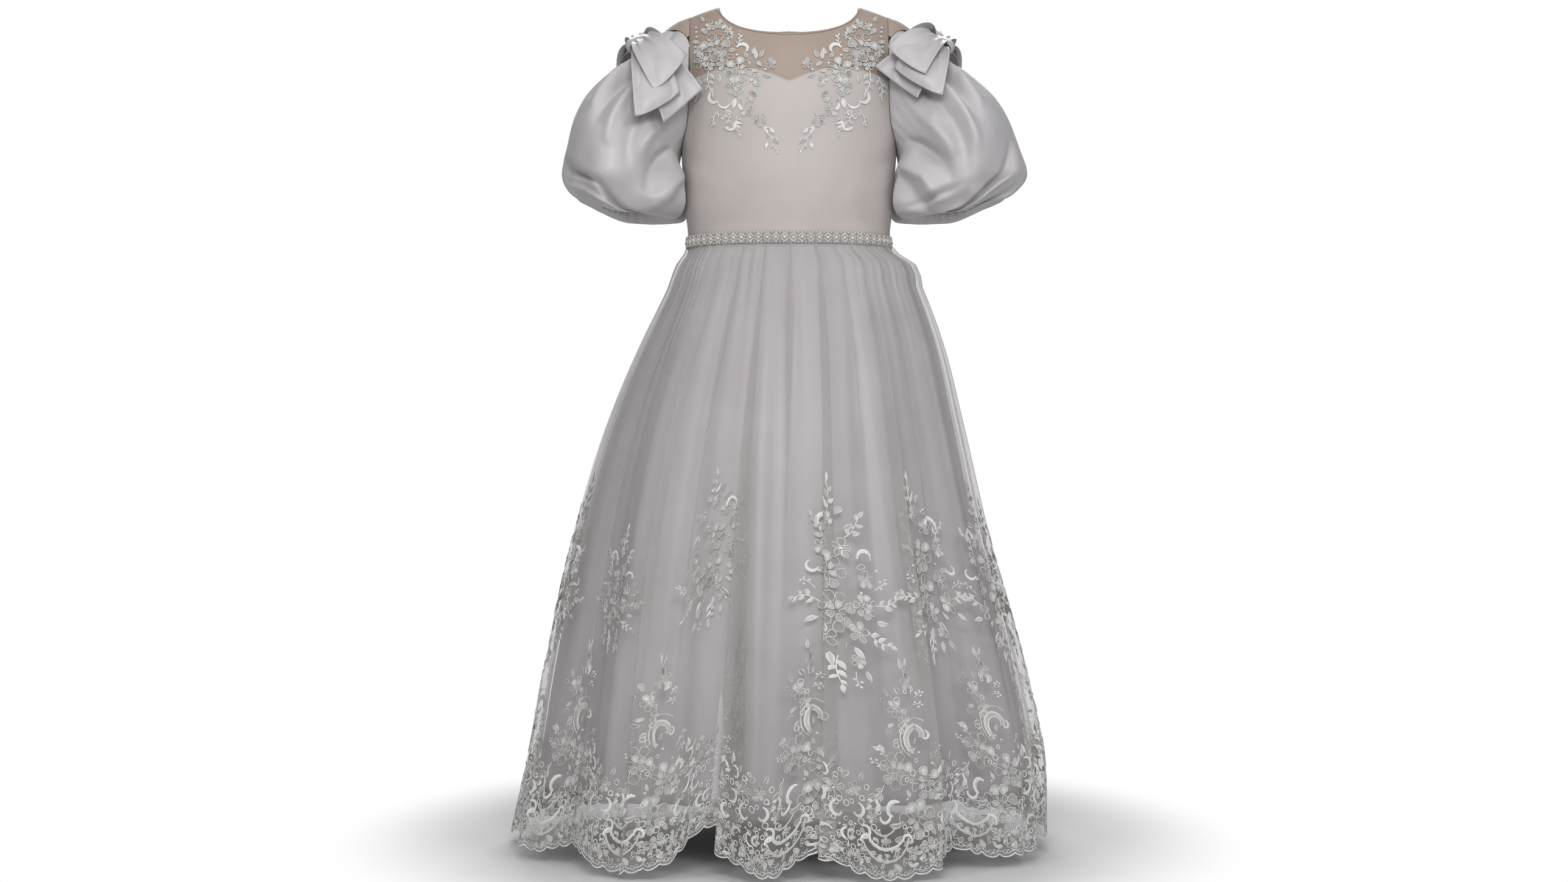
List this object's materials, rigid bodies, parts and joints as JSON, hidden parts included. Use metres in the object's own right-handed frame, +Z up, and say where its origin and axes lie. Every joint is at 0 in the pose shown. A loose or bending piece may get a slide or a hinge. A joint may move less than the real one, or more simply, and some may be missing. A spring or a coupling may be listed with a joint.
{
  "type": "communion dress",
  "caption": "Girl's satin communion dress with a sheer yoke, bubble sleeves, shoulder bows and a full sheer overskirt with lace at the hem.",
  "frame": {"origin": "midway between the two neck points, where the shoulders carry the dress", "axes": "+Z up, -Y towards the front of the dress, +X towards the wearer's left"},
  "size_m": [0.6062, 0.5029, 0.9523],
  "materials": {
    "satin": "ivory satin, soft sheen",
    "sheer": "ivory organza, see-through",
    "nude_mesh": "nude illusion tulle",
    "lace": "ivory embroidered lace",
    "beaded_trim": "pearl and bead trim",
    "zip_metal": "painted slider and pull"
  },
  "bodies": {
    "dress": {"applique_left": "lace", "applique_right": "lace", "belt": "beaded_trim", "bodice_back_left": "satin", "bodice_back_right": "satin", "bodice_front": "satin", "bow_back_lower_loop_left": "satin", "bow_back_lower_loop_right": "satin", "bow_back_upper_loop_left": "satin", "bow_back_upper_loop_right": "satin", "bow_front_lower_loop_left": "satin", "bow_front_lower_loop_right": "satin", "bow_front_tail_left": "satin", "bow_front_tail_right": "satin", "bow_front_upper_loop_left": "satin", "bow_front_upper_loop_right": "satin", "bow_knot_left": "satin", "bow_knot_right": "satin", "cuff_left": "satin", "cuff_right": "satin", "neck_binding": "nude_mesh", "overskirt_back_left": "sheer", "overskirt_back_right": "sheer", "overskirt_front": "sheer", "sleeve_cap_left": "nude_mesh", "sleeve_cap_right": "nude_mesh", "sleeve_left": "satin", "sleeve_right": "satin", "underskirt_back_left": "satin", "underskirt_back_right": "satin", "underskirt_front": "satin", "yoke_back_left": "nude_mesh", "yoke_back_right": "nude_mesh", "yoke_front": "nude_mesh", "zip_slider": "zip_metal", "zip_tape": "nude_mesh"},
    "zip_pull": {"zip_pull": "zip_metal"}
  },
  "joints": [
    {"name": "zip_pull_swing", "type": "hinge", "parent": "dress", "child": "zip_pull", "pos_m": [0, 0.05623, -0.0225], "axis": [1, 0, 0], "range_deg": [0, 165]}
  ]
}
